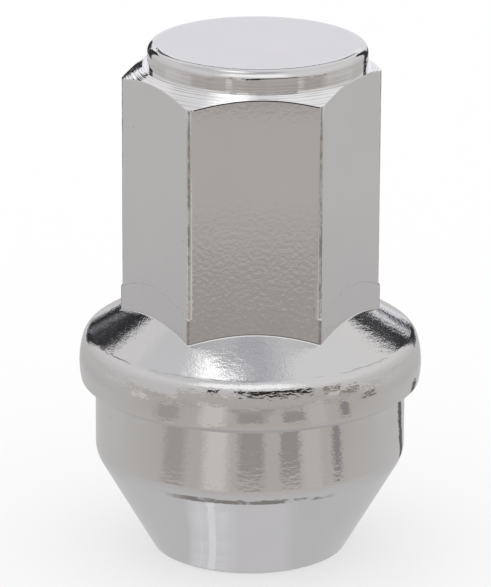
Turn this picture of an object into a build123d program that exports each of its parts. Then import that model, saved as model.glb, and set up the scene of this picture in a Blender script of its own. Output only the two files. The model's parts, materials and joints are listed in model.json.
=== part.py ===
from build123d import *
from math import cos, radians, sqrt, tan
import os

# Acorn lug nut with a built-in flange: one forged and turned piece of plated steel.
# It stands on its open end, with the seat cone down and the closed end up.
# The origin is the middle of the open end, and one flat of the hexagon faces -Y.

# Driving dimensions, in millimetres and degrees
overall_height = 48.9

# Blind threaded bore, M14 x 1.5, opening at the bottom
thread_diameter = 14.0
thread_lead_in = 0.75
thread_depth = 0.75
tap_run_out = 5.0
drill_point_angle = 118.0
closed_end_thickness = 8.0

# Seat cone and the plain collar above it
mouth_land = 1.25
mouth_edge_chamfer = 0.35
seat_angle = 60.0
seat_height = 9.65
seat_shoulder_round = 2.7
collar_length = 6.75

# Flange with a crowned rim
flange_overhang = 1.5
flange_top_angle = 31.5
rim_height = 4.75
rim_crown_radius = 7.5
rim_crown_height = 2.0
rim_upper_round = 1.5
rim_lower_chamfer = 0.5

# Wrench hexagon
across_flats = 21.0
hex_corner_round = 0.85

# Foot of the hexagon: a shade larger, and cut off by a cone that leaves an arc on each flat
foot_step = 0.06
foot_corner_round = 0.4
foot_height = 2.9
foot_cone_angle = 45.0

# Turned closed end: a low disc, a narrow ledge and a chamfer, cut a little off the hexagon's axis
disc_inset = 0.27
disc_height = 2.05
disc_edge_round = 0.8
end_ledge_width = 0.45
end_chamfer_angle = 30.0
end_offset_x = 0.58
end_offset_y = 0.7

# Radii that follow from the driving dimensions
thread_radius = thread_diameter / 2
mouth_radius = thread_radius + thread_lead_in + mouth_land
collar_radius = mouth_radius + seat_height * tan(radians(seat_angle / 2))
flange_radius = collar_radius + flange_overhang
flat_radius = across_flats / 2
foot_radius = flat_radius + foot_step
disc_radius = flat_radius - disc_inset
ledge_radius = disc_radius + end_ledge_width
corner_reach = foot_radius / cos(radians(30))

# Heights that follow from them, bottom to top
flange_bottom = seat_height + collar_length
rim_top = flange_bottom + rim_height
disc_base = overall_height - disc_height

# The crown is an arc about a centre inside the rim
crown_centre = flange_radius - rim_crown_radius
crown_foot_radius = crown_centre + sqrt(rim_crown_radius**2 - rim_crown_height**2)
crown_head_radius = crown_centre + sqrt(rim_crown_radius**2 - (rim_height - rim_crown_height) ** 2)

# The flange's top rises at a steady slope from the rim to the hexagon and on inside it
flange_slope = tan(radians(flange_top_angle))
flange_tip = rim_top + crown_head_radius * flange_slope
flat_foot = flange_tip - flat_radius * flange_slope

# The chamfer under the rim is held to the width of the ledge there
lower_chamfer = min(rim_lower_chamfer, 0.6 * flange_overhang)


def corner_near(profile, radius, height):
    """The corner of a turned profile that is nearest to a radius and a height."""
    return profile.vertices().sort_by_distance((radius, height))[0]


# Flange, collar and seat cone, turned about the axis
with BuildPart() as turned_body:
    with BuildSketch(Plane.XZ) as body_profile:
        with BuildLine():
            Polyline((0, flange_tip), (0, 0), (mouth_radius, 0), (collar_radius, seat_height))
            Line((collar_radius, seat_height), (collar_radius, flange_bottom))
            Line((collar_radius, flange_bottom), (crown_foot_radius, flange_bottom))
            ThreePointArc(
                (crown_foot_radius, flange_bottom),
                (flange_radius, flange_bottom + rim_crown_height),
                (crown_head_radius, rim_top),
            )
            Line((crown_head_radius, rim_top), (0, flange_tip))
        make_face()
        chamfer(corner_near(body_profile, mouth_radius, 0), mouth_edge_chamfer)
        fillet(corner_near(body_profile, collar_radius, seat_height), seat_shoulder_round)
        chamfer(corner_near(body_profile, crown_foot_radius, flange_bottom), lower_chamfer)
        fillet(corner_near(body_profile, crown_head_radius, rim_top), rim_upper_round)
    revolve(axis=Axis.Z)

# Hexagon, with its closed end turned about its own, slightly offset axis
end_reach = corner_reach + abs(end_offset_x) + abs(end_offset_y)
end_plane = Plane(origin=(end_offset_x, end_offset_y, 0), x_dir=(1, 0, 0), z_dir=(0, -1, 0))
end_axis = Axis((end_offset_x, end_offset_y, 0), (0, 0, 1))
chamfer_drop = (end_reach - ledge_radius) * tan(radians(end_chamfer_angle))

with BuildPart() as wrench_hex:
    with BuildSketch(Plane.XY.offset(flange_bottom)) as hex_outline:
        RegularPolygon(flat_radius, 6, major_radius=False)
        fillet(hex_outline.vertices(), hex_corner_round)
    extrude(amount=overall_height - flange_bottom)
    with BuildSketch(end_plane) as end_profile:
        with BuildLine():
            Polyline(
                (0, flange_bottom),
                (end_reach, flange_bottom),
                (end_reach, disc_base - chamfer_drop),
                (ledge_radius, disc_base),
                (disc_radius, disc_base),
                (disc_radius, overall_height),
                (0, overall_height),
                close=True,
            )
        make_face()
        fillet(corner_near(end_profile, disc_radius, overall_height), disc_edge_round)
    revolve(axis=end_axis, mode=Mode.INTERSECT)

# Foot of the hexagon, cut off by its cone
foot_top = flat_foot + foot_height
foot_slope = tan(radians(foot_cone_angle))

with BuildPart() as hex_foot:
    with BuildSketch(Plane.XY.offset(flange_bottom)) as foot_outline:
        RegularPolygon(foot_radius, 6, major_radius=False)
        fillet(foot_outline.vertices(), foot_corner_round)
    extrude(amount=foot_top + foot_radius * foot_slope - flange_bottom)
    with BuildSketch(Plane.XZ):
        with BuildLine():
            Polyline(
                (0, flange_bottom),
                (corner_reach, flange_bottom),
                (corner_reach, foot_top - (corner_reach - foot_radius) * foot_slope),
                (0, foot_top + foot_radius * foot_slope),
                close=True,
            )
        make_face()
    revolve(axis=Axis.Z, mode=Mode.INTERSECT)

# The bore: lead-in, threaded length at the thread's major diameter, tap drill and drill point
drill_radius = thread_radius - thread_depth
drill_tip = overall_height - closed_end_thickness
drill_shoulder = drill_tip - drill_radius / tan(radians(drill_point_angle / 2))
thread_end = drill_shoulder - tap_run_out

with BuildPart() as lug_nut:
    add(turned_body.part)
    add(hex_foot.part)
    add(wrench_hex.part)
    with BuildSketch(Plane.XZ):
        with BuildLine():
            Polyline(
                (0, 0),
                (thread_radius + thread_lead_in, 0),
                (thread_radius, thread_lead_in),
                (thread_radius, thread_end),
                (drill_radius, thread_end + thread_depth),
                (drill_radius, drill_shoulder),
                (0, drill_tip),
                close=True,
            )
        make_face()
    revolve(axis=Axis.Z, mode=Mode.SUBTRACT)

lug_nut.part.label = "lug_nut"
os.makedirs("parts", exist_ok=True)
export_step(lug_nut.part, "parts/lug_nut.step")
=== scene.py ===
import json
import math
from types import SimpleNamespace

import bpy
from bpy.props import FloatProperty, FloatVectorProperty, IntProperty, PointerProperty
from bpy.types import Operator, Panel, PropertyGroup
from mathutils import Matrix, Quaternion, Vector


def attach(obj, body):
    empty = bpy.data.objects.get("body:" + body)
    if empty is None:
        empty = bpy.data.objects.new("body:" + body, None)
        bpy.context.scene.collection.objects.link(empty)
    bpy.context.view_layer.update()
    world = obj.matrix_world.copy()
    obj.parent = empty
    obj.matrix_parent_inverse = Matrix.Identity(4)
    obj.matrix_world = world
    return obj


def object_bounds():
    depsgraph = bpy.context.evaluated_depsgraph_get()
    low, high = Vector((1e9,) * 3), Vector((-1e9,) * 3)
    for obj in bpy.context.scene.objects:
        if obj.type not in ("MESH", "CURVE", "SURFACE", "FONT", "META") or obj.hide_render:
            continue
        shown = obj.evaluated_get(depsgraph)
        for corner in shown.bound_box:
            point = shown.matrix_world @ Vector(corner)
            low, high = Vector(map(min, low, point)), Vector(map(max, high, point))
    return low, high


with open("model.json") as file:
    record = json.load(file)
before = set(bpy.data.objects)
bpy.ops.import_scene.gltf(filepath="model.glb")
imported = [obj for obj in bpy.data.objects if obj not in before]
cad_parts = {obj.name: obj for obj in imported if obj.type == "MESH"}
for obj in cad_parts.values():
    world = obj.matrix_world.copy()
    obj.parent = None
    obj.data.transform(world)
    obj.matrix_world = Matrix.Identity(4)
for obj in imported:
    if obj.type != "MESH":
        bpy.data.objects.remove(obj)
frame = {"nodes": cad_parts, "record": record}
cad_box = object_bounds()

bl_info = {
    "name": "Acorn lug nut looks",
    "version": (1, 0, 0),
    "blender": (4, 5, 0),
    "location": "3D View > Sidebar > Lug Nut",
    "description": "Plates the lug nut in chrome, models its thread and sets up the studio",
    "category": "Object",
}

MM = 0.001
NUT = frame["nodes"]["lug_nut"]
NUT_TOP = cad_box[1].z

# Where the nut's surfaces lie: half the width across the hexagon's flats and across its foot's
FLAT_RADIUS = 10.5 * MM
FOOT_RADIUS = 10.56 * MM
# The foot's edge at its highest, and a height that is well clear of it
FOOT_TOP = 27.2 * MM
FOOT_LIMIT = 27.6 * MM
# The cones of the flange's top and of the closed end's chamfer, as two points, each a radius and a height
FLANGE_CONE = ((10.5 * MM, 24.24 * MM), (16.1 * MM, 20.81 * MM))
CHAMFER_CONE = ((10.68 * MM, 46.85 * MM), (13.0 * MM, 45.5106 * MM))
# The closed end is turned about an axis of its own, at this x and y, and ends in a disc of this height
END_AXIS = (0.58 * MM, 0.70 * MM)
DISC_HEIGHT = 2.05 * MM
# All that lies inside this radius and below this height belongs to the bore
BORE_REACH = 7.8 * MM
BORE_TOP = 41.2 * MM

# The thread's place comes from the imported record
thread_mount = next(m for m in frame["record"]["mounts"] if m["name"] == "thread")
THREAD_RADIUS = thread_mount["dims"]["r_mm"] * MM
THREAD_LENGTH = thread_mount["dims"]["length_mm"] * MM
THREAD_MIDDLE = thread_mount["pos_m"][2]
THREAD_FOOT = THREAD_MIDDLE - THREAD_LENGTH / 2
THREAD_HEAD = THREAD_MIDDLE + THREAD_LENGTH / 2

# Depth of a metric thread's ridge as a share of its pitch, and how far its root is sunk in the wall
RIDGE_SHARE = 0.541266
RIDGE_SUNK = 0.03 * MM

# Colours painted on the plating: painted shade in the foot's crease, which also darkens the pits, painted
# shade along the foot's edge and at the rim's line, a painted dark reflection along the corners, and the
# tool's grey scores
CREASE_SHADE_AND_PIT_COLOUR = (0.10, 0.095, 0.09)
FRONT_FOOT_SHADE_COLOUR = (0.37, 0.355, 0.34)
SIDE_FOOT_SHADE_COLOUR = (0.60, 0.595, 0.59)
CORNER_REFLECTION_COLOUR = (0.16, 0.15, 0.14)
SCORE_COLOUR = (0.42, 0.405, 0.395)
RIM_LINE_SHADE_COLOUR = (0.15, 0.14, 0.13)


# Sizes and colours that a user would change

class ThreadSizes(PropertyGroup):
    pitch: FloatProperty(
        name="Pitch", description="Height of one turn of the thread",
        default=1.5 * MM, min=0.5 * MM, max=3 * MM, precision=5, unit="LENGTH")
    major_radius: FloatProperty(
        name="Major radius", description="Radius of the bore wall that the ridge stands on",
        default=THREAD_RADIUS, min=2 * MM, max=20 * MM, precision=5, unit="LENGTH")
    crest_width: FloatProperty(
        name="Crest width", description="Width of the flat along the top of the ridge",
        default=0.34 * MM, min=0.05 * MM, max=1 * MM, precision=5, unit="LENGTH")
    crest_round: FloatProperty(
        name="Crest round", description="Small round on both edges of the crest",
        default=0.05 * MM, min=0.0, max=0.2 * MM, precision=5, unit="LENGTH")
    flank_angle: FloatProperty(
        name="Flank angle", description="Lean of each flank from the plane across the axis",
        default=math.radians(30), min=math.radians(5), max=math.radians(45), subtype="ANGLE")
    steps: IntProperty(
        name="Steps in a turn", description="Sections of the ridge in one full turn",
        default=72, min=24, max=128)


class PlateFinish(PropertyGroup):
    chrome_colour: FloatVectorProperty(
        name="Chrome", description="Colour of the bright plating",
        default=(0.735, 0.730, 0.735), min=0.0, max=1.0, size=3, subtype="COLOR")
    chrome_roughness: FloatProperty(
        name="Roughness", description="Blur of the bright plating's reflections",
        default=0.035, min=0.0, max=1.0, subtype="FACTOR")
    bore_colour: FloatVectorProperty(
        name="Bore", description="Colour of the thinly plated steel inside the bore",
        default=(0.42, 0.405, 0.385), min=0.0, max=1.0, size=3, subtype="COLOR")
    bore_roughness: FloatProperty(
        name="Bore roughness", description="Blur of the bore's reflections",
        default=0.34, min=0.0, max=1.0, subtype="FACTOR")
    peel_size: FloatProperty(
        name="Orange peel", description="Width of one dimple of the plating's orange peel",
        default=0.30 * MM, min=0.1 * MM, max=3 * MM, precision=5, unit="LENGTH")
    peel_depth: FloatProperty(
        name="Peel depth", description="Depth of the orange peel",
        default=0.017 * MM, min=0.0, max=0.1 * MM, precision=7, unit="LENGTH")
    grain_size: FloatProperty(
        name="Grain", description="Width of the finer grain between the dimples",
        default=0.12 * MM, min=0.05 * MM, max=1 * MM, precision=5, unit="LENGTH")
    grain_depth: FloatProperty(
        name="Grain depth", description="Depth of the finer grain",
        default=0.0035 * MM, min=0.0, max=0.1 * MM, precision=7, unit="LENGTH")
    ring_spacing: FloatProperty(
        name="Turning lines", description="Spacing of the turning lines round the closed end",
        default=0.34 * MM, min=0.02 * MM, max=1 * MM, precision=5, unit="LENGTH")
    ring_depth: FloatProperty(
        name="Line depth", description="Depth of the turning lines",
        default=0.014 * MM, min=0.0, max=0.1 * MM, precision=7, unit="LENGTH")


class StudioSetup(PropertyGroup):
    floor_colour: FloatVectorProperty(
        name="Floor", description="Colour of the plain pale floor",
        default=(0.975, 0.975, 0.975), min=0.0, max=1.0, size=3, subtype="COLOR")
    daylight: FloatProperty(
        name="Daylight", description="Strength of the even light from all round",
        default=1.0, min=0.0, max=2.0)
    softbox_power: FloatProperty(
        name="Softbox", description="Power of the lamp overhead",
        default=0.062, min=0.0, max=20.0, unit="POWER")
    camera_distance: FloatProperty(
        name="Distance", description="From the camera to the point that it looks at",
        default=427.1 * MM, min=50 * MM, max=5.0, unit="LENGTH")
    camera_height: FloatProperty(
        name="Elevation", description="Angle of the camera above the horizon",
        default=math.radians(18.22), subtype="ANGLE")
    camera_turn: FloatProperty(
        name="Turn", description="Turn of the view away from straight along +Y",
        default=math.radians(1.83), subtype="ANGLE")
    camera_roll: FloatProperty(
        name="Roll", description="Roll of the camera about its own line of sight",
        default=math.radians(0.27), subtype="ANGLE")
    camera_lens: FloatProperty(
        name="Focal length", description="Focal length on a 36 mm frame, in millimetres",
        default=279.5, min=20.0, max=1000.0)
    camera_aim: FloatVectorProperty(
        name="Aim", description="Point that the camera looks at",
        default=(-0.473 * MM, 0.015 * MM, 24.779 * MM), size=3, subtype="TRANSLATION")


# Plain helpers

def clear_selection():
    """Leaves nothing selected, so an operator acts only on what it makes."""
    if bpy.context.object and bpy.context.object.mode != "OBJECT":
        bpy.ops.object.mode_set(mode="OBJECT")
    bpy.ops.object.select_all(action="DESELECT")


def named_active(name):
    """Gives the object that an operator has just made its name."""
    piece = bpy.context.object
    piece.name = name
    piece.data.name = name
    return piece


def new_material(name):
    """An empty material and its node tree."""
    material = bpy.data.materials.new(name)
    material.use_nodes = True
    material.node_tree.nodes.clear()
    return material, material.node_tree


def new_group(name, inputs, outputs):
    """A shader node group with named sockets, and its input and output nodes."""
    group = bpy.data.node_groups.new(name, "ShaderNodeTree")
    for label, kind, value in inputs:
        socket = group.interface.new_socket(label, in_out="INPUT", socket_type=kind)
        if value is not None:
            socket.default_value = value
    for label, kind in outputs:
        group.interface.new_socket(label, in_out="OUTPUT", socket_type=kind)
    return group, put(group, "NodeGroupInput"), put(group, "NodeGroupOutput")


# Nodes, whose inputs may be numbers or other nodes' sockets

def put(tree, kind, inputs=None, **settings):
    """Adds a node, sets it up, and joins or fills its inputs."""
    node = tree.nodes.new(kind)
    node.location = (220 * (len(tree.nodes) % 12), -240 * (len(tree.nodes) // 12))
    for name, value in settings.items():
        setattr(node, name, value)
    for name, value in (inputs or {}).items():
        if isinstance(value, bpy.types.NodeSocket):
            tree.links.new(value, node.inputs[name])
        else:
            node.inputs[name].default_value = value
    return node


def use_group(tree, name, inputs):
    """Places a node group in a material with its own values."""
    return put(tree, "ShaderNodeGroup", inputs, node_tree=bpy.data.node_groups[name])


def calc(tree, operation, first, second=0.0):
    """One step of arithmetic on two values."""
    return put(tree, "ShaderNodeMath", {0: first, 1: second}, operation=operation).outputs[0]


def product(tree, first, *others):
    """Values multiplied together, or the mask of where several masks meet."""
    for other in others:
        first = calc(tree, "MULTIPLY", first, other)
    return first


def total(tree, first, *others):
    """Values added together."""
    for other in others:
        first = calc(tree, "ADD", first, other)
    return first


def over(tree, value, limit):
    """Mask of where a value is over its limit."""
    return calc(tree, "GREATER_THAN", value, limit)


def under(tree, value, limit):
    """Mask of where a value is under its limit."""
    return calc(tree, "LESS_THAN", value, limit)


def outside(tree, mask):
    """Mask of everything that another mask leaves out."""
    return calc(tree, "SUBTRACT", 1.0, mask)


def ramp(tree, value, low, high, start=0.0, end=1.0):
    """A value's way from low to high, as a number from start to end."""
    return put(tree, "ShaderNodeMapRange", {
        "Value": value, "From Min": low, "From Max": high, "To Min": start, "To Max": end}).outputs["Result"]


def per_metre(tree, size):
    """How many times a size goes into a metre, which is the scale that a texture node takes."""
    return calc(tree, "DIVIDE", 1.0, size) if isinstance(size, bpy.types.NodeSocket) else 1 / size


def noise(tree, place, size, detail, roughness=0.5):
    """Random clouds of about a given size, from 0 to 1."""
    return put(tree, "ShaderNodeTexNoise", {
        "Vector": place, "Scale": per_metre(tree, size), "Detail": detail,
        "Roughness": roughness}).outputs["Fac"]


def line_noise(tree, measure, spacing):
    """Random lines across one measure such as the radius, from 0 to 1."""
    return put(tree, "ShaderNodeTexNoise", {
        "W": measure, "Scale": per_metre(tree, spacing), "Detail": 2.0, "Roughness": 0.6},
        noise_dimensions="1D").outputs["Fac"]


def solid(colour, factor=1.0):
    """A colour with its alpha, as a shader socket takes it."""
    return (colour[0] * factor, colour[1] * factor, colour[2] * factor, 1.0)


def blend(tree, share, first, second):
    """Two colours mixed by a mask."""
    first, second = (c if isinstance(c, bpy.types.NodeSocket) else solid(c) for c in (first, second))
    return put(tree, "ShaderNodeMix", {0: share, 6: first, 7: second}, data_type="RGBA").outputs[2]


def cone_height(tree, radius, cone):
    """Height of a turned cone at a radius."""
    (inner, inner_height), (outer, outer_height) = cone
    return ramp(tree, radius, inner, outer, inner_height, outer_height)


def hexagon_reach(tree, place):
    """Half the width across flats of the hexagon round the axis that a point lies on."""
    reach = 0.0
    for angle in (30, 90, 150):
        way = (math.cos(math.radians(angle)), math.sin(math.radians(angle)), 0.0)
        along = put(tree, "ShaderNodeVectorMath", {0: place, 1: way}, operation="DOT_PRODUCT")
        reach = calc(tree, "MAXIMUM", reach, calc(tree, "ABSOLUTE", along.outputs["Value"]))
    return reach


# Node groups: the marks and measures that the finishes are made of

def make_turned_place():
    """Distance of a point from a turning axis, and its height along it."""
    group, given, out = new_group(
        "Turned Place",
        [("Point", "NodeSocketVector", None), ("Axis X", "NodeSocketFloat", 0.0),
         ("Axis Y", "NodeSocketFloat", 0.0)],
        [("Radius", "NodeSocketFloat"), ("Height", "NodeSocketFloat")])
    parts = put(group, "ShaderNodeSeparateXYZ", {0: given.outputs["Point"]})
    across = calc(group, "SUBTRACT", parts.outputs["X"], given.outputs["Axis X"])
    along = calc(group, "SUBTRACT", parts.outputs["Y"], given.outputs["Axis Y"])
    squares = total(group, product(group, across, across), product(group, along, along))
    group.links.new(calc(group, "SQRT", squares), out.inputs["Radius"])
    group.links.new(parts.outputs["Z"], out.inputs["Height"])


def make_orange_peel():
    """The shallow dimples of bright plating, with a finer grain, as a height in metres."""
    group, given, out = new_group(
        "Orange Peel",
        [("Point", "NodeSocketVector", None), ("Size", "NodeSocketFloat", 0.5 * MM),
         ("Depth", "NodeSocketFloat", 0.001 * MM), ("Grain Size", "NodeSocketFloat", 0.15 * MM),
         ("Grain Depth", "NodeSocketFloat", 0.001 * MM)],
        [("Height", "NodeSocketFloat")])
    dimples = put(group, "ShaderNodeTexNoise", {
        "Vector": given.outputs["Point"], "Scale": per_metre(group, given.outputs["Size"]),
        "Detail": 1.5, "Roughness": 0.45, "Distortion": 0.15}).outputs["Fac"]
    grain = noise(group, given.outputs["Point"], given.outputs["Grain Size"], detail=1.0)
    height = total(
        group,
        product(group, dimples, given.outputs["Depth"]),
        product(group, grain, given.outputs["Grain Depth"]))
    group.links.new(height, out.inputs["Height"])


def make_tool_lines():
    """Fine lines left by a turning tool, along one measure such as the radius, as a height in metres."""
    group, given, out = new_group(
        "Tool Lines",
        [("Measure", "NodeSocketFloat", 0.0), ("Point", "NodeSocketVector", None),
         ("Spacing", "NodeSocketFloat", 0.1 * MM), ("Depth", "NodeSocketFloat", 0.001 * MM)],
        [("Height", "NodeSocketFloat")])
    lines = line_noise(group, given.outputs["Measure"], given.outputs["Spacing"])
    patches = noise(group, given.outputs["Point"], 3.846 * MM, detail=1.0)
    strength = ramp(group, patches, 0.35, 0.65, 0.25, 1.0)
    group.links.new(product(group, lines, strength, given.outputs["Depth"]), out.inputs["Height"])


def make_specks():
    """A thin scatter of small pits, as a mask."""
    group, given, out = new_group(
        "Specks",
        [("Point", "NodeSocketVector", None), ("Size", "NodeSocketFloat", 1 * MM),
         ("Share", "NodeSocketFloat", 0.1)],
        [("Mask", "NodeSocketFloat")])
    cells = put(group, "ShaderNodeTexVoronoi", {
        "Vector": given.outputs["Point"], "Scale": per_metre(group, given.outputs["Size"]),
        "Randomness": 1.0})
    chosen = put(group, "ShaderNodeSeparateColor", {0: cells.outputs["Color"]})
    kept = under(group, chosen.outputs["Red"], given.outputs["Share"])
    dot = ramp(group, cells.outputs["Distance"], 0.16, 0.05)
    group.links.new(product(group, kept, dot), out.inputs["Mask"])


class LUGNUT_OT_plate_nut(Operator):
    """Gives the nut its chrome plating, with the marks of turning and forging under it, and painted shade, a
    painted highlight and painted dark reflections at its creases, chamfer, corners and edges
    """
    bl_idname = "lugnut.plate_nut"
    bl_label = "Plate the Nut"

    def execute(self, context):
        finish = context.scene.lugnut_plate
        material, tree = new_material("Bright Chrome Plate")
        place = put(tree, "ShaderNodeTexCoord").outputs["Object"]
        nut = self.find_surfaces(tree, place)
        clouds = noise(tree, place, 5.556 * MM, detail=3.0)
        patches = noise(tree, place, 3.125 * MM, detail=2.0)
        specks = use_group(tree, "Specks", {
            "Point": place, "Size": 1.1 * MM, "Share": 0.035}).outputs["Mask"]

        relief = total(
            tree, self.plating_relief(tree, place, nut, finish), self.edge_relief(tree, nut),
            product(tree, specks, -0.004 * MM))
        normal = put(tree, "ShaderNodeBump", {"Height": relief, "Distance": 1.0, "Strength": 1.0})

        chrome = blend(
            tree, clouds, solid(finish.chrome_colour, 0.97), solid(finish.chrome_colour, 1.03))
        # Painted shade darkens the crease at the hexagon's foot, and the small pits are darkened too
        dark = calc(tree, "MAXIMUM", self.painted_foot_crease_shade(tree, nut), product(tree, specks, 0.35))
        chrome = blend(tree, product(tree, dark, 0.8), chrome, CREASE_SHADE_AND_PIT_COLOUR)
        # The foot's upper edge is painted with shade, darker on the front flat than beside it
        chrome = self.paint_foot_edge_shade(tree, place, nut, chrome)
        # The chamfer's chrome is painted brighter, as a painted highlight
        chrome = blend(tree, nut.on_chamfer, chrome, solid(finish.chrome_colour, 1.3))
        # A dark reflection is painted along the hexagon's corners
        chrome = blend(tree, self.painted_corner_reflection(tree, place, nut), chrome, CORNER_REFLECTION_COLOUR)
        chrome = blend(tree, self.tool_scores(tree, nut, patches), chrome, SCORE_COLOUR)
        # A broken line of painted shade marks where the flange's top rolls over into the rim
        chrome = blend(tree, self.painted_rim_line_shade(tree, place, nut, patches), chrome, RIM_LINE_SHADE_COLOUR)

        # The flange's top is a shade duller than the rest, and the foot's edge on the side flats is dull
        gloss = total(
            tree,
            ramp(tree, clouds, 0.3, 0.7, finish.chrome_roughness, finish.chrome_roughness * 1.8),
            product(tree, nut.on_flange_top, 0.004),
            product(tree, nut.on_foot_edge, nut.on_side_flat, 0.6))
        shader = put(tree, "ShaderNodeBsdfPrincipled", {
            "Base Color": blend(tree, nut.in_bore, chrome, finish.bore_colour),
            "Roughness": ramp(tree, nut.in_bore, 0.0, 1.0, gloss, finish.bore_roughness),
            "Metallic": 1.0, "Normal": normal.outputs[0]})
        put(tree, "ShaderNodeOutputMaterial", {"Surface": shader.outputs[0]})
        for slot in NUT.material_slots:
            slot.material = material
        return {"FINISHED"}

    @staticmethod
    def find_surfaces(tree, place):
        """Measures and masks that tell the nut's surfaces apart."""
        nut = SimpleNamespace()
        turned = use_group(tree, "Turned Place", {"Point": place})
        end_turned = use_group(tree, "Turned Place", {
            "Point": place, "Axis X": END_AXIS[0], "Axis Y": END_AXIS[1]})
        nut.radius, nut.height = turned.outputs["Radius"], turned.outputs["Height"]
        nut.end_radius = end_turned.outputs["Radius"]
        # A measure that changes all along the closed end's profile, for the tool's lines
        nut.turned_way = calc(tree, "SUBTRACT", nut.end_radius, nut.height)
        nut.across = put(tree, "ShaderNodeSeparateXYZ", {0: place}).outputs["X"]
        nut.aside = calc(tree, "ABSOLUTE", nut.across)
        nut.reach = hexagon_reach(tree, place)
        flange_height = cone_height(tree, nut.radius, FLANGE_CONE)
        chamfer_height = cone_height(tree, nut.end_radius, CHAMFER_CONE)
        nut.above_flange = calc(tree, "SUBTRACT", nut.height, flange_height)
        nut.below_chamfer = calc(tree, "SUBTRACT", chamfer_height, nut.height)

        # How near to a surface counts as on it, and how far the flange's top falls off before the rim starts
        near, very_near, rim_fall = 0.03 * MM, 0.02 * MM, 0.35 * MM
        nut.on_body = under(tree, nut.above_flange, near)
        nut.on_flange_top = product(tree, nut.on_body, over(tree, nut.above_flange, -rim_fall))
        nut.on_hexagon = outside(tree, nut.on_body)
        nut.on_side_flat = ramp(tree, nut.aside, 5.9 * MM, 6.3 * MM)
        nut.on_foot_edge = product(
            tree, nut.on_hexagon, under(tree, nut.height, FOOT_LIMIT),
            over(tree, nut.reach, FLAT_RADIUS + 0.002 * MM),
            under(tree, nut.reach, FOOT_RADIUS - 0.0015 * MM))
        nut.on_disc = over(tree, nut.height, NUT_TOP - near)
        nut.on_end = product(tree, outside(tree, nut.on_disc), under(tree, nut.below_chamfer, very_near))
        above_ledge = NUT_TOP - DISC_HEIGHT + 0.05 * MM
        nut.on_chamfer = product(tree, nut.on_end, under(tree, nut.height, above_ledge))
        nut.in_bore = product(tree, under(tree, nut.radius, BORE_REACH), under(tree, nut.height, BORE_TOP))
        return nut

    @staticmethod
    def plating_relief(tree, place, nut, finish):
        """Orange peel, the tool's lines round the closed end and the sparkle of the flange's top."""
        drawn_out = put(
            tree, "ShaderNodeVectorMath", {0: place, 1: (0.42, 0.42, 1.0)}, operation="MULTIPLY")
        body_peel = use_group(tree, "Orange Peel", {
            "Point": drawn_out.outputs[0], "Size": finish.peel_size, "Depth": finish.peel_depth,
            "Grain Size": finish.grain_size, "Grain Depth": finish.grain_depth}).outputs["Height"]
        flat_peel = use_group(tree, "Orange Peel", {
            "Point": place, "Size": finish.peel_size * 1.4, "Depth": finish.peel_depth * 0.8,
            "Grain Size": finish.grain_size * 1.5,
            "Grain Depth": finish.grain_depth * 0.6}).outputs["Height"]
        line_depth = product(tree, finish.ring_depth, total(tree, 1.0, product(tree, nut.on_chamfer, 1.2)))
        lines = use_group(tree, "Tool Lines", {
            "Measure": nut.turned_way, "Point": place,
            "Spacing": finish.ring_spacing, "Depth": line_depth}).outputs["Height"]
        sparkle = noise(tree, place, 0.15 * MM, detail=1.0)

        # The flats are smoothest near the top and roughest at the foot
        smooth_height, even_height, rough_height = 41 * MM, 34 * MM, 28 * MM
        flat_share = total(
            tree, ramp(tree, nut.height, smooth_height, even_height, 0.22, 1.0),
            ramp(tree, nut.height, even_height, rough_height, 0.0, 0.8))
        return total(
            tree,
            product(tree, body_peel, nut.on_body),
            product(tree, flat_peel, nut.on_hexagon, flat_share),
            product(tree, lines, nut.on_end),
            product(tree, sparkle, nut.on_flange_top, 0.0095 * MM))

    @staticmethod
    def edge_relief(tree, nut):
        """The soft top of each flat, the disc's falling edge and the hollow round at the hexagon's foot."""
        lean_start, lean_end, lean_depth = 0.02 * MM, 0.13 * MM, 0.028 * MM
        lean = product(
            tree, nut.on_hexagon, over(tree, nut.below_chamfer, lean_start),
            ramp(tree, nut.below_chamfer, lean_start, lean_end, -lean_depth, 0.0))

        fall_start, fall_rate, fall_depth = 9.1 * MM, 170.0, 0.03 * MM
        past_start = calc(tree, "MAXIMUM", calc(tree, "SUBTRACT", nut.end_radius, fall_start), 0.0)
        fall = calc(tree, "MINIMUM", product(tree, past_start, past_start, fall_rate), fall_depth)
        relief = total(tree, lean, product(tree, fall, nut.on_disc, -1.0))

        hollow_width, hollow_slope = 0.13 * MM, 0.38
        from_wall = calc(tree, "SUBTRACT", nut.reach, FOOT_RADIUS)
        for share, distance in ((nut.on_flange_top, from_wall), (nut.on_hexagon, nut.above_flange)):
            near = ramp(tree, distance, hollow_width, 0.0)
            relief = total(tree, relief, product(tree, near, near, hollow_slope * hollow_width, share))
        return relief

    @staticmethod
    def painted_foot_crease_shade(tree, nut):
        """Mask of the painted shade in the crease where the hexagon stands on the flange, fainter on the side
        flats.
        """
        return product(
            tree, nut.on_hexagon, ramp(tree, nut.above_flange, 0.15 * MM, 0.07 * MM),
            ramp(tree, nut.on_side_flat, 0.0, 1.0, 1.0, 0.3))

    @staticmethod
    def paint_foot_edge_shade(tree, place, nut, chrome):
        """Paints shade along the foot's upper edge: dark and uneven on the front flat, pale and even beside
        it.
        """
        dashes = ramp(tree, noise(tree, place, 0.35 * MM, detail=1.0), 0.35, 0.6, 0.7, 1.0)
        share = product(tree, nut.on_foot_edge, calc(tree, "MAXIMUM", dashes, nut.on_side_flat))
        edge = blend(tree, nut.on_side_flat, FRONT_FOOT_SHADE_COLOUR, SIDE_FOOT_SHADE_COLOUR)
        return blend(tree, share, chrome, edge)

    @staticmethod
    def painted_corner_reflection(tree, place, nut):
        """Mask of the patchy dark line along the hexagon's corners, a painted dark reflection."""
        line_start, corner_top = 11.976 * MM, 46.5 * MM

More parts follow.
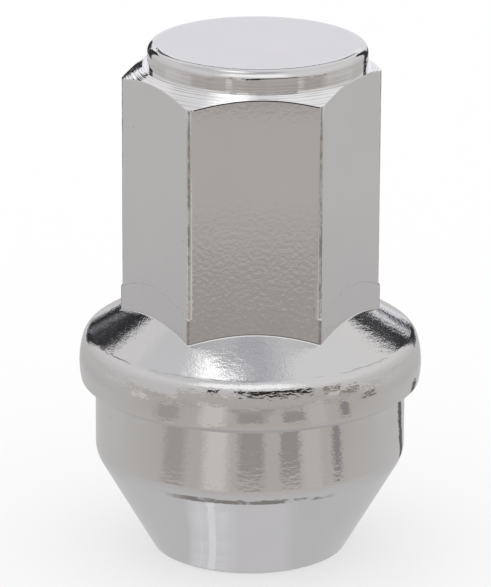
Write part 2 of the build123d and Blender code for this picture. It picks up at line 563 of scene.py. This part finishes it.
        # At the left and right corner the line is wider, most of all near the top
        on_outer_corner = ramp(tree, nut.aside, 11.0 * MM, 11.2 * MM)
        widened = product(
            tree, on_outer_corner, ramp(tree, nut.height, 36 * MM, 39 * MM, -0.041 * MM, -0.086 * MM))

        # The foot's corners stand out further
        on_foot = ramp(tree, nut.height, FOOT_LIMIT, FOOT_TOP, 0.0, 0.142 * MM)
        past_start = calc(tree, "SUBTRACT", nut.radius, total(tree, line_start, widened, on_foot))
        corner_patches = noise(tree, place, 0.9 * MM, detail=3.0, roughness=0.65)
        return product(
            tree, nut.on_hexagon, under(tree, nut.height, corner_top),
            ramp(tree, past_start, 0.0, 0.02 * MM), ramp(tree, corner_patches, 0.4, 0.6, 0.1, 0.75))

    @staticmethod
    def tool_scores(tree, nut, patches):
        """Mask of the grey scores that the tool left round the closed end, strongest on its chamfer."""
        scores = line_noise(tree, nut.turned_way, 0.30 * MM)
        return product(
            tree, nut.on_end, ramp(tree, scores, 0.52, 0.66), ramp(tree, patches, 0.38, 0.62, 0.25, 0.75),
            ramp(tree, nut.on_chamfer, 0.0, 1.0, 0.45, 0.80))

    @staticmethod
    def painted_rim_line_shade(tree, place, nut, patches):
        """Mask of the broken line of painted shade where the flange's top rolls over into the rim, clearest
        on the left.
        """
        wander = noise(tree, place, 0.8 * MM, detail=2.0)
        line_radius = ramp(tree, wander, 0.3, 0.7, 15.09 * MM, 15.25 * MM)
        off_line = calc(tree, "ABSOLUTE", calc(tree, "SUBTRACT", nut.radius, line_radius))
        return product(
            tree, nut.on_flange_top, ramp(tree, off_line, 0.07 * MM, 0.02 * MM),
            ramp(tree, patches, 0.42, 0.54), ramp(tree, nut.across, -6 * MM, -2 * MM, 0.8, 0.35))


class LUGNUT_OT_cut_thread(Operator):
    """Models the ridges of the thread inside the bore"""
    bl_idname = "lugnut.cut_thread"
    bl_label = "Cut the Thread"

    def execute(self, context):
        sizes = context.scene.lugnut_thread
        finish = context.scene.lugnut_plate
        root = sizes.major_radius + RIDGE_SUNK
        crest = sizes.major_radius - RIDGE_SHARE * sizes.pitch
        ridge = self.draw_section(sizes, root, crest)
        self.wind(ridge, sizes)
        self.cut_ends(ridge, sizes)
        self.cut_lead_in(ridge, sizes)
        bpy.ops.object.shade_smooth_by_angle(angle=math.radians(25))
        ridge.data.materials.append(self.tapped_steel(finish, crest))
        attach(ridge, "root")
        return {"FINISHED"}

    @classmethod
    def draw_section(cls, sizes, root, crest):
        """One section of the ridge: a small square, its inner edge drawn in to the crest."""
        height = root - crest
        half_base = sizes.crest_width / 2 + height * math.tan(sizes.flank_angle)
        start = THREAD_FOOT - 1.5 * sizes.pitch
        clear_selection()
        bpy.ops.mesh.primitive_plane_add(
            size=height, location=((root + crest) / 2, 0, start), rotation=(math.pi / 2, 0, 0))
        ridge = named_active("bore_thread")
        bpy.ops.object.transform_apply(location=True, rotation=True, scale=True)
        for radius, half in ((crest, sizes.crest_width / 2), (root, half_base)):
            cls.select_at(ridge, radius)
            bpy.ops.transform.resize(value=(1, 1, 2 * half / height), center_override=(radius, 0, start))
            bpy.ops.object.mode_set(mode="OBJECT")
        cls.select_at(ridge, crest)
        bpy.ops.mesh.bevel(offset=sizes.crest_round, segments=2, affect="VERTICES")
        bpy.ops.mesh.select_all(action="SELECT")
        bpy.ops.mesh.delete(type="ONLY_FACE")
        bpy.ops.object.mode_set(mode="OBJECT")
        return ridge

    @staticmethod
    def select_at(ridge, radius):
        """Opens the section for editing, with only its points at one radius selected."""
        bpy.ops.object.mode_set(mode="EDIT")
        bpy.ops.mesh.select_mode(type="VERT")
        bpy.ops.mesh.select_all(action="DESELECT")
        bpy.ops.object.mode_set(mode="OBJECT")
        for vertex in ridge.data.vertices:
            vertex.select = abs(vertex.co.x - radius) < 0.01 * MM
        bpy.ops.object.mode_set(mode="EDIT")

    @staticmethod
    def wind(ridge, sizes):
        """Winds the section up the bore, past both ends of the threaded length."""
        winding = ridge.modifiers.new("Winding", "SCREW")
        winding.axis = "Z"
        winding.angle = math.tau
        winding.screw_offset = sizes.pitch
        winding.iterations = math.ceil(THREAD_LENGTH / sizes.pitch) + 3
        winding.steps = winding.render_steps = sizes.steps
        winding.use_smooth_shade = True
        winding.use_merge_vertices = False
        bpy.ops.object.modifier_apply(modifier=winding.name)

    @staticmethod
    def cut_ends(ridge, sizes):
        """Cuts off flat what stands outside the threaded length, and closes both cuts."""
        bpy.ops.object.mode_set(mode="EDIT")
        for height, clear_top in ((THREAD_FOOT - sizes.pitch / 3, False), (THREAD_HEAD, True)):
            bpy.ops.mesh.select_all(action="SELECT")
            bpy.ops.mesh.bisect(
                plane_co=(0, 0, height), plane_no=(0, 0, 1), use_fill=True, threshold=1e-7,
                clear_inner=not clear_top, clear_outer=clear_top)
        bpy.ops.mesh.select_all(action="SELECT")
        bpy.ops.mesh.remove_doubles(threshold=0.001 * MM)
        bpy.ops.mesh.select_all(action="SELECT")
        bpy.ops.mesh.normals_make_consistent(inside=False)
        bpy.ops.object.mode_set(mode="OBJECT")

    @staticmethod
    def cut_lead_in(ridge, sizes):
        """Cuts the first turn along the bore's lead-in cone, as a countersink does."""
        below = 2 * MM
        lip = sizes.major_radius + THREAD_FOOT
        clear_selection()
        bpy.ops.mesh.primitive_cone_add(
            vertices=96, radius1=lip + below, radius2=0, depth=lip + below,
            location=(0, 0, (lip - below) / 2))
        cutter = named_active("lead_in_cutter")
        clear_selection()
        bpy.context.view_layer.objects.active = ridge
        ridge.select_set(True)
        cut = ridge.modifiers.new("Lead In", "BOOLEAN")
        cut.operation, cut.solver, cut.object = "DIFFERENCE", "EXACT", cutter
        bpy.ops.object.modifier_apply(modifier=cut.name)
        bpy.data.objects.remove(cutter)

    @staticmethod
    def tapped_steel(finish, crest):
        """Thinly plated steel, with the tap's marks along the turns and brighter crests."""
        material, tree = new_material("Tapped Steel")
        place = put(tree, "ShaderNodeTexCoord").outputs["Object"]
        radius = use_group(tree, "Turned Place", {"Point": place}).outputs["Radius"]
        marks = use_group(tree, "Tool Lines", {
            "Measure": radius, "Point": place,
            "Spacing": finish.ring_spacing * 0.3, "Depth": finish.ring_depth * 0.2})
        skin = use_group(tree, "Orange Peel", {
            "Point": place, "Size": finish.peel_size, "Depth": finish.peel_depth * 1.5,
            "Grain Size": finish.grain_size, "Grain Depth": finish.grain_depth * 2})
        normal = put(tree, "ShaderNodeBump", {
            "Height": total(tree, marks.outputs[0], skin.outputs[0]), "Distance": 1.0, "Strength": 1.0})
        on_crest = ramp(tree, radius, crest + 0.25 * MM, crest + 0.02 * MM)
        colour = blend(tree, on_crest, solid(finish.bore_colour, 0.85), solid(finish.chrome_colour, 0.9))
        rough = ramp(tree, on_crest, 0.0, 1.0, finish.bore_roughness, finish.bore_roughness * 0.55)
        shader = put(tree, "ShaderNodeBsdfPrincipled", {
            "Base Color": colour, "Roughness": rough, "Metallic": 1.0, "Normal": normal.outputs[0]})
        put(tree, "ShaderNodeOutputMaterial", {"Surface": shader.outputs[0]})
        return material


# The studio's cards are seen only in reflections, and their radii and heights are in millimetres.
# Left and right edges are compass angles, from +Y, behind the nut in the photo's view, towards +X.

# Cards on the table: name, left and right edge, angle over which both fade, near and far edge, tone
FLOOR_CARDS = (
    ("bar_mid", 171, 191, 4, 44, 74, (0.375, 0.355, 0.335)),
    ("bar_right", 149, 163.5, 2, 44, 78, (0.36, 0.34, 0.325)),
    ("bar_edge", 119, 128, 3, 42, 100, (0.31, 0.285, 0.29)),
    ("bar_left", 221, 242, 6, 40, 90, (0.42, 0.385, 0.375)),
    ("light_left", 193, 214, 6, 38, 140, (0.69, 0.665, 0.635)),
    ("light_right", 134, 149, 3, 38, 130, (0.58, 0.555, 0.535)),
    ("foot_shade", 166, 196, 4, 74, 97, (0.42, 0.387, 0.365)),
    ("corner_right", 96, 109, 2, 86, 126, (0.24, 0.23, 0.22)),
    ("edge_right", 44, 55, 2, 27, 52, (0.14, 0.135, 0.13)),
    ("corner_left", 248, 262, 2, 86, 126, (0.72, 0.71, 0.69)),
    ("cone_glow", 152, 222, 10, 7.9, 16, (0.66, 0.65, 0.66)),
    ("cone_gleam", 188, 222, 9, 8.3, 16, (0.90, 0.90, 0.925)),
    ("cone_line", 128, 236, 18, 16.5, 20.2, (0.27, 0.252, 0.24)),
    ("far_mid", 170, 195, 4, 170, 194, (0.43, 0.405, 0.395)),
    ("far_right", 141, 171, 1, 168, 196, (0.46, 0.44, 0.43)),
    ("far_glint", 134, 141, 1, 160, 200, (0.68, 0.665, 0.65)),
    ("far_edge", 112, 133, 2, 165, 198, (0.47, 0.43, 0.43)),
    ("far_side", 66, 111, 6, 160, 200, (0.68, 0.67, 0.66)),
    ("far_gleam", 207, 215, 2, 160, 200, (0.76, 0.75, 0.75)),
    ("far_left", 233, 249, 3, 165, 198, (0.51, 0.485, 0.48)),
    ("far_side_left", 251, 294, 5, 160, 200, (0.69, 0.67, 0.66)),
)
# Standing cards: name, left and right edge, angle of the fade, distance, lower and upper edge, tone
WALL_CARDS = (
    ("backdrop", -40, 40, 0, 420, 0, 178, (0.875, 0.865, 0.905)),
    ("backdrop_top", -40, 40, 0, 420, 216, 480, (0.84, 0.835, 0.86)),
    ("flag_left", 319, 335, 1.5, 130, 22, 107, (0.035, 0.035, 0.04)),
    ("flag_left_wing", 334, 348, 1.5, 128, 23, 72, (0.035, 0.035, 0.04)),
    ("flag_right", 30.5, 43, 1.5, 130, 10, 112, (0.035, 0.035, 0.04)),
    ("flag_right_wing", 22, 33, 1.5, 128, 14, 44, (0.035, 0.035, 0.04)),
    ("flag_behind", -14, 14, 0, 320, 178, 215, (0.035, 0.035, 0.04)),
    ("flag_camera", 139, 185, 4, 300, 50, 132, (0.03, 0.025, 0.025)),
    ("flag_camera_middle", 181, 191, 0, 300, 66, 122, (0.03, 0.025, 0.025)),
    ("flag_camera_left", 202, 210, 0, 300, 60, 122, (0.05, 0.045, 0.045)),
    ("ridge_high", 133, 144, 0, 300, 64, 78, (0.26, 0.23, 0.20)),
    ("ridge_middle", 121, 134, 0, 300, 34, 54, (0.28, 0.25, 0.22)),
    ("ridge_low", 108, 122, 0, 300, 4, 24, (0.32, 0.28, 0.25)),
    ("front_light", 140, 230, 14, 330, 205, 560, (1.14, 1.14, 1.13)),
    ("skirt_front", 130, 230, 0, 405, 0, 62, (0.52, 0.50, 0.475)),
)
# Walls behind them, whose tone changes from the foot up to this height: name, left and right edge, tone
SIDE_WALLS = (
    ("wall_right", 26, 180, (0.80, 0.79, 0.78)),
    ("wall_left", 180, 336, (0.76, 0.75, 0.745)),
)
WALL_DISTANCE, WALL_TOP, WALL_FADE = 414, 480, 250
WALL_FOOT_TONE = (0.63, 0.615, 0.61)
# Cards overhead: name, left and right edge, outer and inner edge, height, tone
CEILING_CARDS = (
    ("ceiling_right", 0, 180, 600, 150, 600, (0.79, 0.785, 0.79)),
    ("ceiling_left", 180, 360, 600, 150, 600, (0.69, 0.685, 0.695)),
    ("zenith_ring", 0, 360, 150, 90, 610, (0.62, 0.62, 0.65)),
    ("zenith", 0, 360, 92, 1, 620, (0.50, 0.50, 0.525)),
)
# Cards with ragged gaps, and the level of the noise past which each is torn away
TORN_CARDS = {
    "cone_line": 0.55, "flag_camera": 0.76, "flag_left": 0.68, "flag_left_wing": 0.68,
    "flag_right": 0.635, "flag_right_wing": 0.635,
}
# Heights of the table and of the cards on it, the table's two radii, and the angle of one step in a bend
TABLE_LIFT, FLOOR_CARD_LIFT = 0.2, 0.4
TABLE_INNER, TABLE_OUTER = 8.2, 420
BEND_STEP = 5

# Tones of the table that the cards lie on: behind the nut, in front, beside and at its foot, and a shade
TABLE_BACK_TONE = (0.59, 0.585, 0.575)
TABLE_FRONT_TONE = (0.53, 0.50, 0.47)
TABLE_SIDE_TONE = (0.556, 0.542, 0.54)
TABLE_FOOT_TONE = (0.60, 0.595, 0.60)
TABLE_SHADE_TONE = (0.425, 0.395, 0.37)

# The lamp's place, and the size and strength of the glowing pane that stands for it in reflections
SOFTBOX_PLACE = (-0.085, 0.09, 0.52)
SOFTBOX_SIZE = 0.20
GLOW_SIZE = (0.19, 0.32)
GLOW_STRENGTH = 1.5
WHITE = (1.0, 1.0, 1.0, 1.0)
FLOOR_SIZE = 6.0


class LUGNUT_OT_set_stage(Operator):
    """Sets up the floor, the daylight, the softbox, the cards that the chrome reflects and the camera"""
    bl_idname = "lugnut.set_stage"
    bl_label = "Set the Stage"

    def execute(self, context):
        studio = context.scene.lugnut_studio
        self.lay_floor(studio)
        self.light_world(context, studio)
        self.hang_softbox(studio)
        self.set_cards()
        self.place_camera(context, studio)
        context.scene.view_settings.view_transform = "Standard"
        return {"FINISHED"}

    @staticmethod
    def seen_directly(tree):
        """Mask of the rays by which the camera sees a surface, straight, by reflection or through glass."""
        rays = put(tree, "ShaderNodeLightPath")
        seen = calc(tree, "MAXIMUM", rays.outputs["Is Camera Ray"], rays.outputs["Is Glossy Ray"])
        return calc(tree, "MAXIMUM", seen, rays.outputs["Is Transmission Ray"])

    def lay_floor(self, studio):
        """A wide sheet of pale paper that takes the nut's shadow and can't be seen from below."""
        clear_selection()
        bpy.ops.mesh.primitive_plane_add(size=FLOOR_SIZE, location=(0, 0, 0))
        floor = named_active("floor")
        material, tree = new_material("Pale Paper")
        paper = put(tree, "ShaderNodeBsdfPrincipled", {
            "Base Color": solid(studio.floor_colour), "Roughness": 0.9, "Specular IOR Level": 0.0})
        clear = put(tree, "ShaderNodeBsdfTransparent")
        bright = put(tree, "ShaderNodeEmission", {"Color": WHITE, "Strength": 1.0})
        top = put(tree, "ShaderNodeMixShader", {
            0: product(tree, self.seen_directly(tree), 0.5), 1: paper.outputs[0], 2: bright.outputs[0]})
        under_side = put(tree, "ShaderNodeNewGeometry").outputs["Backfacing"]
        sheet = put(tree, "ShaderNodeMixShader", {0: under_side, 1: top.outputs[0], 2: clear.outputs[0]})
        put(tree, "ShaderNodeOutputMaterial", {"Surface": sheet.outputs[0]})
        floor.data.materials.append(material)

    def light_world(self, context, studio):
        """Even daylight from all round, and a white background."""
        world = bpy.data.worlds.new("Even Daylight")
        context.scene.world = world
        world.use_nodes = True
        tree = world.node_tree
        tree.nodes.clear()
        strength = ramp(tree, self.seen_directly(tree), 0.0, 1.0, studio.daylight, 1.0)
        sky = put(tree, "ShaderNodeBackground", {"Color": WHITE, "Strength": strength})
        put(tree, "ShaderNodeOutputWorld", {"Surface": sky.outputs[0]})

    def hang_softbox(self, studio):
        """A lamp overhead that gives the nut its soft shadow."""
        clear_selection()
        bpy.ops.object.light_add(type="AREA", location=SOFTBOX_PLACE)
        lamp = named_active("softbox")
        lamp.data.shape = "RECTANGLE"
        lamp.data.size, lamp.data.size_y = SOFTBOX_SIZE, SOFTBOX_SIZE
        lamp.data.energy = studio.softbox_power
        lamp.rotation_euler = (-lamp.location).to_track_quat("-Z", "Y").to_euler()
        lamp.visible_glossy = False

    def set_cards(self):
        """Lays the card table round the nut, and sets the cards on it, round it and overhead."""
        paper = self.table_paper()
        self.arc_card("table", 0, 360, (TABLE_INNER, TABLE_LIFT), (TABLE_OUTER, TABLE_LIFT), paper)
        for name, left, right, soft, near, far, tone in FLOOR_CARDS:
            paper = self.soft_paper(name, tone, left, right, soft)
            self.arc_card(name, left, right, (near, FLOOR_CARD_LIFT), (far, FLOOR_CARD_LIFT), paper)
        for name, left, right, soft, distance, low, high, tone in WALL_CARDS:
            if soft:
                paper = self.soft_paper(name, tone, left, right, soft)
            else:
                paper = self.plain_paper(name, tone)
            self.arc_card(name, left, right, (distance, low), (distance, high), paper)
        for name, left, right, tone in SIDE_WALLS:
            paper = self.graded_paper(name, tone)
            self.arc_card(name, left, right, (WALL_DISTANCE, 0), (WALL_DISTANCE, WALL_TOP), paper)
        for name, left, right, outer, inner, height, tone in CEILING_CARDS:
            paper = self.plain_paper(name, tone)
            self.arc_card(name, left, right, (outer, height), (inner, height), paper)
        self.hang_glow()

    def arc_card(self, name, left, right, start, end, paper):
        """A card bent round the nut: an edge between two radii and heights, spun from left to right."""
        steps = max(3, round((right - left) / BEND_STEP))
        left, right = math.radians(left), math.radians(right)
        clear_selection()
        bpy.ops.mesh.primitive_plane_add(size=0.01, location=(0, 0, 0))
        card = named_active("card_" + name)
        for vertex in card.data.vertices:
            radius, height = start if vertex.index < 2 else end
            vertex.co = (radius * MM * math.sin(left), radius * MM * math.cos(left), height * MM)
        bpy.ops.object.mode_set(mode="EDIT")
        bpy.ops.mesh.select_all(action="SELECT")
        bpy.ops.mesh.remove_doubles(threshold=0.01 * MM)
        bpy.ops.mesh.select_all(action="SELECT")
        bpy.ops.mesh.spin(steps=steps, angle=right - left, center=(0, 0, 0), axis=(0, 0, 1), dupli=False)
        bpy.ops.object.mode_set(mode="OBJECT")
        card.data.materials.append(paper)
        self.reflect_only(card)

    def hang_glow(self):
        """The window overhead that the flange's top reflects, bright in the middle and faint at its edges."""
        width, length = GLOW_SIZE
        clear_selection()
        bpy.ops.mesh.primitive_plane_add(size=1.0, location=SOFTBOX_PLACE)
        pane = named_active("card_glow")
        pane.scale = (width, length, 1.0)
        bpy.ops.object.transform_apply(location=False, rotation=False, scale=True)
        material, tree = self.new_paper("glow")
        place = put(tree, "ShaderNodeTexCoord").outputs["Object"]
        spread = put(
            tree, "ShaderNodeVectorMath", {0: place, 1: (2 / width, 2 / length, 0.0)}, operation="MULTIPLY")
        reach = put(tree, "ShaderNodeVectorMath", {0: spread.outputs[0]}, operation="LENGTH")
        self.light_up(tree, WHITE, ramp(tree, reach.outputs["Value"], 1.0, 0.25), GLOW_STRENGTH)
        pane.data.materials.append(material)
        self.reflect_only(pane)

    @staticmethod
    def reflect_only(card):
        """A card is out of the picture: only reflections show it."""
        card.visible_camera = False
        card.visible_diffuse = False
        card.visible_shadow = False
        card.visible_transmission = False

    @staticmethod
    def new_paper(name):
        """An empty material for a card."""
        return new_material("Card " + name.replace("_", " ").title())

    @staticmethod
    def light_up(tree, tone, share=None, strength=1.0):
        """Makes a card glow in its tone, and lets rays through it where its share is under 1."""
        surface = put(tree, "ShaderNodeEmission", {"Color": tone, "Strength": strength})
        if share is not None:
            clear = put(tree, "ShaderNodeBsdfTransparent")
            surface = put(tree, "ShaderNodeMixShader", {
                0: share, 1: clear.outputs[0], 2: surface.outputs[0]})
        put(tree, "ShaderNodeOutputMaterial", {"Surface": surface.outputs[0]})

    def plain_paper(self, name, tone):
        """Card of one tone."""
        material, tree = self.new_paper(name)
        self.light_up(tree, solid(tone))
        return material

    def graded_paper(self, name, tone):
        """Card that changes from the table's tone at its foot to its own higher up."""
        material, tree = self.new_paper(name)
        place = put(tree, "ShaderNodeTexCoord").outputs["Object"]
        height = put(tree, "ShaderNodeSeparateXYZ", {0: place}).outputs["Z"]
        self.light_up(tree, blend(tree, ramp(tree, height, 0.0, WALL_FADE * MM), WALL_FOOT_TONE, tone))
        return material

    def soft_paper(self, name, tone, left, right, soft):
        """Card that fades out at its left and right edge; a torn one has gaps too."""
        material, tree = self.new_paper(name)
        place = put(tree, "ShaderNodeTexCoord").outputs["Object"]
        parts = put(tree, "ShaderNodeSeparateXYZ", {0: place})
        angle = calc(
            tree, "ARCTAN2", product(tree, parts.outputs["X"], -1.0), product(tree, parts.outputs["Y"], -1.0))
        angle = ramp(tree, angle, -math.pi, math.pi, 0.0, 360.0)
        share = product(tree, ramp(tree, angle, left, left + soft), ramp(tree, angle, right, right - soft))
        if name in TORN_CARDS:
            torn = TORN_CARDS[name]
            gaps = noise(tree, place, 5.882 * MM, detail=3.0, roughness=0.6)
            share = product(tree, share, ramp(tree, gaps, torn + 0.04, torn - 0.04))
        self.light_up(tree, solid(tone), share)
        return material

    def table_paper(self):
        """The card table's grey paper, warmer in front of the nut, with one darker band across it there."""
        material, tree = self.new_paper("table")
        place = put(tree, "ShaderNodeTexCoord").outputs["Object"]
        depth = put(tree, "ShaderNodeSeparateXYZ", {0: place}).outputs["Y"]
        radius = use_group(tree, "Turned Place", {"Point": place}).outputs["Radius"]
        in_front = ramp(tree, depth, 10 * MM, -25 * MM)
        beside_foot = product(
            tree, outside(tree, in_front),
            ramp(tree, radius, 125 * MM, 78 * MM), ramp(tree, radius, 58 * MM, 68 * MM))
        near_foot = ramp(tree, radius, 40 * MM, 22 * MM)
        ragged = ramp(tree, noise(tree, place, 16.667 * MM, detail=2.0), 0.35, 0.6, 0.85, 1.0)
        in_band = product(
            tree, ramp(tree, depth, -128 * MM, -98 * MM), ramp(tree, depth, -80 * MM, -95 * MM), ragged)
        tone = blend(tree, in_front, TABLE_BACK_TONE, TABLE_FRONT_TONE)
        tone = blend(tree, beside_foot, tone, TABLE_SIDE_TONE)
        tone = blend(tree, near_foot, tone, TABLE_FOOT_TONE)
        tone = blend(tree, in_band, tone, TABLE_SHADE_TONE)
        self.light_up(tree, tone)
        return material

    @staticmethod
    def place_camera(context, studio):
        """The camera stands at the photo's angle and looks at the nut's middle."""
        turn, height = studio.camera_turn, studio.camera_height
        level = math.cos(height)
        look = Vector((level * math.sin(turn), level * math.cos(turn), -math.sin(height)))
        turned = look.to_track_quat("-Z", "Y") @ Quaternion((0, 0, 1), studio.camera_roll)
        place = Vector(studio.camera_aim) - look * studio.camera_distance
        clear_selection()
        bpy.ops.object.camera_add(location=place, rotation=turned.to_euler())
        camera = named_active("camera")
        camera.data.sensor_width = 36.0
        camera.data.lens = studio.camera_lens
        camera.data.clip_start, camera.data.clip_end = 0.01, 20.0
        context.scene.camera = camera


class LUGNUT_PT_sidebar(Panel):
    """Lists the nut's operators with the sizes and colours that each one uses"""
    bl_idname = "LUGNUT_PT_sidebar"
    bl_label = "Acorn Lug Nut"
    bl_space_type = "VIEW_3D"
    bl_region_type = "UI"
    bl_category = "Lug Nut"

    def draw(self, context):
        for group, action in (
            (context.scene.lugnut_plate, "lugnut.plate_nut"),
            (context.scene.lugnut_thread, "lugnut.cut_thread"),
            (context.scene.lugnut_studio, "lugnut.set_stage"),
        ):
            box = self.layout.box()
            for name in group.__annotations__:
                box.prop(group, name)
            box.operator(action)


CLASSES = (
    ThreadSizes, PlateFinish, StudioSetup,
    LUGNUT_OT_plate_nut, LUGNUT_OT_cut_thread, LUGNUT_OT_set_stage,
    LUGNUT_PT_sidebar,
)


def register():
    for item in CLASSES:
        bpy.utils.register_class(item)
    bpy.types.Scene.lugnut_thread = PointerProperty(type=ThreadSizes)
    bpy.types.Scene.lugnut_plate = PointerProperty(type=PlateFinish)
    bpy.types.Scene.lugnut_studio = PointerProperty(type=StudioSetup)


def unregister():
    del bpy.types.Scene.lugnut_studio
    del bpy.types.Scene.lugnut_plate
    del bpy.types.Scene.lugnut_thread
    for item in reversed(CLASSES):
        bpy.utils.unregister_class(item)


def main():
    register()
    make_turned_place()
    make_orange_peel()
    make_tool_lines()
    make_specks()
    bpy.ops.lugnut.plate_nut()
    bpy.ops.lugnut.cut_thread()
    bpy.ops.lugnut.set_stage()


if __name__ == "__main__":
    main()
